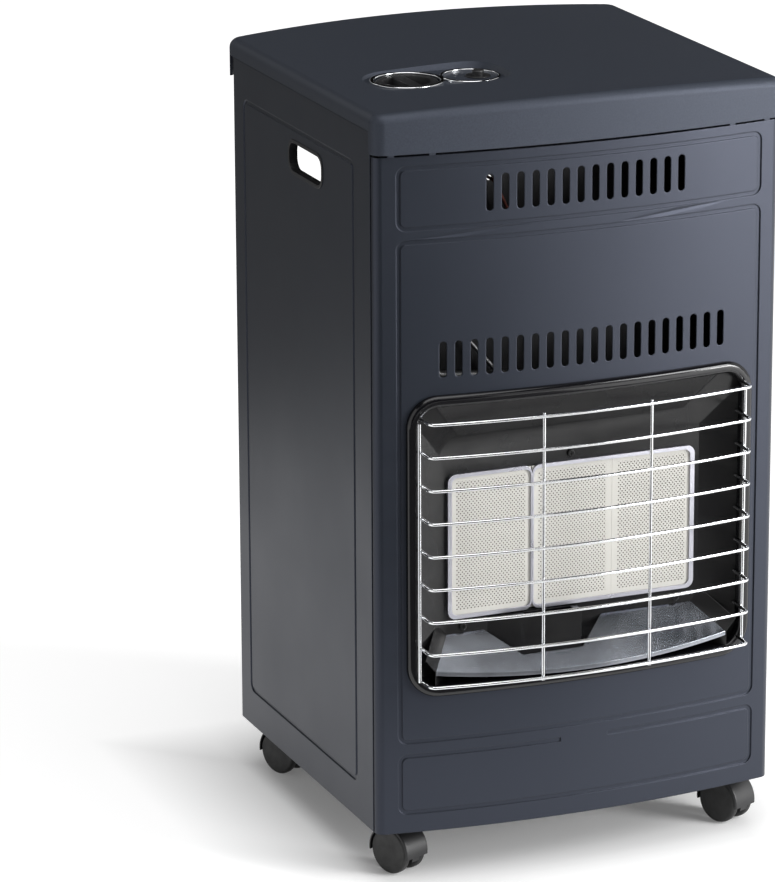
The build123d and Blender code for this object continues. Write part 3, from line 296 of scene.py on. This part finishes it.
# ---- cabinet floor and heat shield -------------------------------------------------------
# Grey steel pressings inside the cabinet: the floor with its ring for the bottle, the wall that
# keeps the burner's heat off the bottle, and the bracket that carries the valve.
inner_steel, shader, tree = new_material("inner_steel")
shader.inputs["Metallic"].default_value = 0.7
# the steel is coloured near black: painted shade for the dark inside of the cabinet
mottle(tree, shader, "Base Color", (0.03, 0.031, 0.033), (0.05, 0.05, 0.053), 25)
mottle(tree, shader, "Roughness", 0.35, 0.5, 30)
grain(tree, shader, 700, 0.00004)

for node in ("base_plate", "heat_shield", "control_bracket"):
    finished(node, "cabinet", inner_steel, 0.0003)

# ---- burner ------------------------------------------------------------------------------
# Pressed mixing box with two waisted mixing tubes, fed by brass jets on a cast manifold. The
# three ceramic plaques are clamped in its front by bright rims.
coat("burner_body", inner_steel)

bright_steel, shader, tree = new_material("bright_steel")
shader.inputs["Metallic"].default_value = 1.0
mottle(tree, shader, "Base Color", (0.54, 0.54, 0.60), (0.60, 0.60, 0.66), 12)
mottle(tree, shader, "Roughness", 0.26, 0.34, 12)
for node in ("mixing_tube_left", "mixing_tube_right"):
    coat(node, bright_steel)
for node in ("burner_rim_left", "burner_rim_right"):
    finished(node, "cabinet", bright_steel, 0.0005, 3)

brass, shader, tree = new_material("brass")
shader.inputs["Metallic"].default_value = 1.0
mottle(tree, shader, "Base Color", (0.60, 0.42, 0.16), (0.72, 0.54, 0.25), 60)
shader.inputs["Roughness"].default_value = 0.28
coat("injectors", brass)

cast_alloy, shader, tree = new_material("cast_alloy")
shader.inputs["Metallic"].default_value = 1.0
mottle(tree, shader, "Base Color", (0.40, 0.41, 0.42), (0.52, 0.52, 0.53), 80)
shader.inputs["Roughness"].default_value = 0.5
grain(tree, shader, 1500, 0.00012)
coat("gas_manifold", cast_alloy)

# ceramic with staggered rows of 1.2 mm burner holes inside a plain margin
HOLE_PITCH, ROW_PITCH, HOLE_RADIUS, MARGIN = 0.0036, 0.0021, 0.0006, 0.006


def plaque_ceramic(node):
    """The ceramic of one plaque; its margin follows the plaque's own edges."""
    corners = [corner.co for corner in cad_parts[node].data.vertices]
    material, shader, tree = new_material("ceramic_" + node)
    shader.inputs["Roughness"].default_value = 0.85
    place = tree.nodes.new("ShaderNodeTexCoord")
    apart = tree.nodes.new("ShaderNodeSeparateXYZ")
    tree.links.new(place.outputs["Object"], apart.inputs[0])
    row = math_node(tree, "DIVIDE", apart.outputs["Z"], ROW_PITCH)
    odd = math_node(tree, "PINGPONG", math_node(tree, "FLOOR", row), 1.0)
    column = math_node(tree, "DIVIDE", apart.outputs["X"], HOLE_PITCH)
    column = math_node(tree, "ADD", column, math_node(tree, "MULTIPLY", odd, 0.5))
    across = math_node(tree, "SUBTRACT", math_node(tree, "FRACT", column), 0.5)
    across = math_node(tree, "MULTIPLY", across, HOLE_PITCH)
    up = math_node(tree, "SUBTRACT", math_node(tree, "FRACT", row), 0.5)
    up = math_node(tree, "MULTIPLY", up, ROW_PITCH)
    across = math_node(tree, "MULTIPLY", across, across)
    up = math_node(tree, "MULTIPLY", up, up)
    far = math_node(tree, "SQRT", math_node(tree, "ADD", across, up))
    plain = span_node(tree, far, HOLE_RADIUS * 0.8, HOLE_RADIUS * 1.25, 0.0, 1.0)
    for axis, index in (("X", 0), ("Z", 2)):
        low = min(corner[index] for corner in corners)
        high = max(corner[index] for corner in corners)
        middle, half = (low + high) / 2, (high - low) / 2 - MARGIN
        off = math_node(tree, "SUBTRACT", apart.outputs[axis], middle)
        off = math_node(tree, "ABSOLUTE", off)
        plain = math_node(tree, "MAXIMUM", plain, math_node(tree, "GREATER_THAN", off, half))
    painted_hole_shade = tree.nodes.new("ShaderNodeValToRGB")
    # the holes are coloured near black, a painted shade for their depth; the plain ceramic is pale
    painted_hole_shade.color_ramp.elements[0].color = (0.06, 0.05, 0.04, 1.0)
    painted_hole_shade.color_ramp.elements[1].color = (0.53, 0.52, 0.485, 1.0)
    tree.links.new(plain, painted_hole_shade.inputs["Fac"])
    tree.links.new(painted_hole_shade.outputs["Color"], shader.inputs["Base Color"])
    bump = tree.nodes.new("ShaderNodeBump")
    bump.inputs["Distance"].default_value = 0.0006
    tree.links.new(plain, bump.inputs["Height"])
    tree.links.new(bump.outputs["Normal"], shader.inputs["Normal"])
    return material


for word in ("left", "middle", "right"):
    node = "plaque_" + word
    finished(node, "cabinet", plaque_ceramic(node), 0.0003)

# ---- firebox -----------------------------------------------------------------------------
# Black enamelled hopper round the burner, with a bright reflector tray below the plaques, its
# two end blades, the box that shields the pilot, and the pilot itself.
black_enamel, shader, tree = new_material("black_enamel")
mottle(tree, shader, "Base Color", (0.007, 0.007, 0.008), (0.012, 0.012, 0.012), 20)
mottle(tree, shader, "Roughness", 0.16, 0.26, 30)
shader.inputs["Specular IOR Level"].default_value = 0.3
grain(tree, shader, 260, 0.00003)
for node in ("firebox_liner", "tray_end_left", "tray_end_right", "pilot_shield"):
    finished(node, "cabinet", black_enamel, 0.0004)

tray_steel, shader, tree = new_material("tray_steel")
shader.inputs["Metallic"].default_value = 1.0
mottle(tree, shader, "Base Color", (0.27, 0.285, 0.32), (0.42, 0.44, 0.48), 16)
mottle(tree, shader, "Roughness", 0.14, 0.22, 22)
finished("reflector_tray", "cabinet", tray_steel, 0.0002)
for node in ("pilot_burner", "thermocouple", "spark_electrode"):
    coat(node, bright_steel)

# ---- window surround ---------------------------------------------------------------------
# Rolled and enamelled steel frame; its lip covers the cut edge of the front panel.
rim_enamel, shader, tree = new_material("rim_enamel")
mottle(tree, shader, "Base Color", (0.003, 0.003, 0.004), (0.005, 0.005, 0.006), 20)
mottle(tree, shader, "Roughness", 0.08, 0.13, 30)
shader.inputs["Specular IOR Level"].default_value = 0.45
grain(tree, shader, 200, 0.00001, 0.001)
finished("window_surround", "cabinet", rim_enamel, 0.0006, 3)

# ---- guard -------------------------------------------------------------------------------
# Nine bowed chrome wires, each bent back into a leg at both ends, spot welded to two uprights
# behind them and to one at each end. The legs stand in the window surround.
WIRE, LOWEST_WIRE, WIRE_PITCH, WIRES = 0.00155, 0.2037, 0.03144, 9
BOW_RADIUS, BOW_CENTRE, BOW_HALF = 0.84807, 0.63137, 0.1614
BEND, LEG_END = 0.006, -0.1697
SIDES = 16
BEND_STEPS, BOW_STEPS = 8, 36

guard_chrome, shader, tree = new_material("guard_chrome")
shader.inputs["Metallic"].default_value = 1.0
mottle(tree, shader, "Base Color", (0.76, 0.77, 0.79), (0.84, 0.85, 0.86), 60)
mottle(tree, shader, "Roughness", 0.07, 0.15, 80)


def swing(centre, angle, steps):
    """Extrudes what is selected round an upright axis, in equal steps."""
    for i in range(steps):
        bpy.ops.mesh.extrude_region_move()
        bpy.ops.transform.rotate(value=-angle / steps, orient_axis="Z", center_override=centre)


bend_x = BOW_HALF - BEND
bend_y = BOW_CENTRE - sqrt((BOW_RADIUS - BEND) ** 2 - bend_x**2)
bend_angle = atan2(bend_y - BOW_CENTRE, bend_x)
bpy.ops.mesh.primitive_circle_add(
    vertices=SIDES, radius=WIRE, fill_type="NGON",
    location=(BOW_HALF, LEG_END, LOWEST_WIRE), rotation=(pi / 2, 0, 0),
)
guard = bpy.context.active_object
guard.name = "guard_wires"
bpy.ops.object.transform_apply(location=True, rotation=True, scale=True)
bpy.ops.object.mode_set(mode="EDIT")
bpy.ops.mesh.select_all(action="SELECT")
bpy.ops.mesh.extrude_region_move(TRANSFORM_OT_translate={"value": (0, bend_y - LEG_END, 0)})
swing((bend_x, bend_y, LOWEST_WIRE), bend_angle, BEND_STEPS)
swing((0, BOW_CENTRE, LOWEST_WIRE), -pi - 2 * bend_angle, BOW_STEPS)
swing((-bend_x, bend_y, LOWEST_WIRE), bend_angle, BEND_STEPS)
bpy.ops.mesh.extrude_region_move(TRANSFORM_OT_translate={"value": (0, LEG_END - bend_y, 0)})
bpy.ops.mesh.select_all(action="SELECT")
for i in range(1, WIRES):
    bpy.ops.mesh.duplicate_move(TRANSFORM_OT_translate={"value": (0, 0, WIRE_PITCH)})
TOP_WIRE = LOWEST_WIRE + (WIRES - 1) * WIRE_PITCH
# the inner uprights, then the end uprights, each once on the left and once on the right
for x, y, low, high in (
    (0.0540, -0.2121, LOWEST_WIRE - 0.003, TOP_WIRE + 0.003),
    (0.1644, -0.1817, LOWEST_WIRE, TOP_WIRE - 0.0035),
):
    for side in (-1, 1):
        bpy.ops.mesh.primitive_cylinder_add(
            vertices=SIDES, radius=WIRE, depth=high - low,
            location=(side * x, y, (low + high) / 2),
        )
bpy.ops.object.mode_set(mode="OBJECT")
bpy.ops.object.shade_smooth_by_angle(angle=radians(40))
guard.data.materials.append(guard_chrome)
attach(guard, "cabinet")
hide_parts("guard_grille")

# ---- front and side panels ---------------------------------------------------------------
# Pressed sheet steel with a satin dark powder coat. The grooves are rolled in, and the vents
# are punched.
cabinet_paint, shader, tree = new_material("cabinet_paint")
mottle(tree, shader, "Base Color", (0.010, 0.0125, 0.0165), (0.0125, 0.015, 0.0195), 6)
mottle(tree, shader, "Roughness", 0.36, 0.41, 9)
shader.inputs["Specular Tint"].default_value = (0.72, 0.77, 1.0, 1.0)
grain(tree, shader, 1100, 0.00002, 0.0013)
FRONT_BOW_CENTRE = 0.916     # axis of the bow, behind the middle of the footprint
finished(
    "front_panel", "cabinet", cabinet_paint, 0.0006, 3, bow=FRONT_BOW_CENTRE
)
for word in ("left", "right"):
    finished("side_panel_" + word, "cabinet", cabinet_paint, 0.0008, 3)
    finished("hand_grip_" + word, "cabinet", hood_nylon, 0.0004, 3)

# ---- rear --------------------------------------------------------------------------------
# A channel ties the side panels at the top of the open rear; the bowed cover below it hooks into
# the cabinet floor and pulls straight off.
finished("rear_rail", "cabinet", cabinet_paint, 0.0003)
finished("rear_cover", "rear_cover", cabinet_paint, 0.0005, 3)
coat("firebox_screws", black_enamel)
for node in ("rail_screws", "valve_screws"):
    coat(node, plated_steel)

# ---- gas line ----------------------------------------------------------------------------
# Cast valve with a brass hose tail, drawn aluminium pipes to the manifold and the pilot, and the
# red silicone lead of the spark.
coat("gas_valve", cast_alloy)
coat("gas_inlet_nozzle", brass)
coat("valve_spindle", brass)
pipe_metal, shader, tree = new_material("pipe_metal")
shader.inputs["Metallic"].default_value = 1.0
# the aluminium is coloured dark grey: painted shade for the inside of the cabinet
mottle(tree, shader, "Base Color", (0.26, 0.265, 0.27), (0.33, 0.33, 0.335), 50)
shader.inputs["Roughness"].default_value = 0.5
for node in ("feed_pipe_left", "feed_pipe_right", "pilot_tube"):
    coat(node, pipe_metal)
lead_rubber, shader, tree = new_material("lead_rubber")
mottle(tree, shader, "Base Color", (0.16, 0.03, 0.02), (0.22, 0.05, 0.03), 120)
shader.inputs["Roughness"].default_value = 0.6
coat("spark_lead", lead_rubber)
for node in ("press_sleeve", "valve_spring"):
    coat(node, inner_steel)

# ---- lid ---------------------------------------------------------------------------------
# Moulded in dark plastic with a fine spark-eroded grain; a deep skirt laps over the cabinet.
lid_plastic, shader, tree = new_material("lid_plastic")
mottle(tree, shader, "Base Color", (0.025, 0.029, 0.038), (0.033, 0.038, 0.049), 700)
shader.inputs["Roughness"].default_value = 0.47
shader.inputs["Specular IOR Level"].default_value = 0.36
shader.inputs["Specular Tint"].default_value = (0.74, 0.80, 1.0, 1.0)
grain(tree, shader, 1500, 0.00012)
finished("top_cover", "cabinet", lid_plastic, 0.0006, 3)

# ---- controls ----------------------------------------------------------------------------
# Chromed figure-eight rim in the lid's recess, the gas knob in the larger ring, and the sprung
# spark button in the smaller one.
bezel_chrome, shader, tree = new_material("bezel_chrome")
shader.inputs["Metallic"].default_value = 1.0
mottle(tree, shader, "Base Color", (0.70, 0.71, 0.73), (0.78, 0.79, 0.80), 80)
shader.inputs["Roughness"].default_value = 0.1
finished("control_bezel", "cabinet", bezel_chrome, 0.0003)
finished("control_knob", "knob", hood_nylon, 0.0006, 3)
finished("igniter_body", "cabinet", hood_nylon, 0.0004)
finished("igniter_button", "spark_button", hood_nylon, 0.0003)
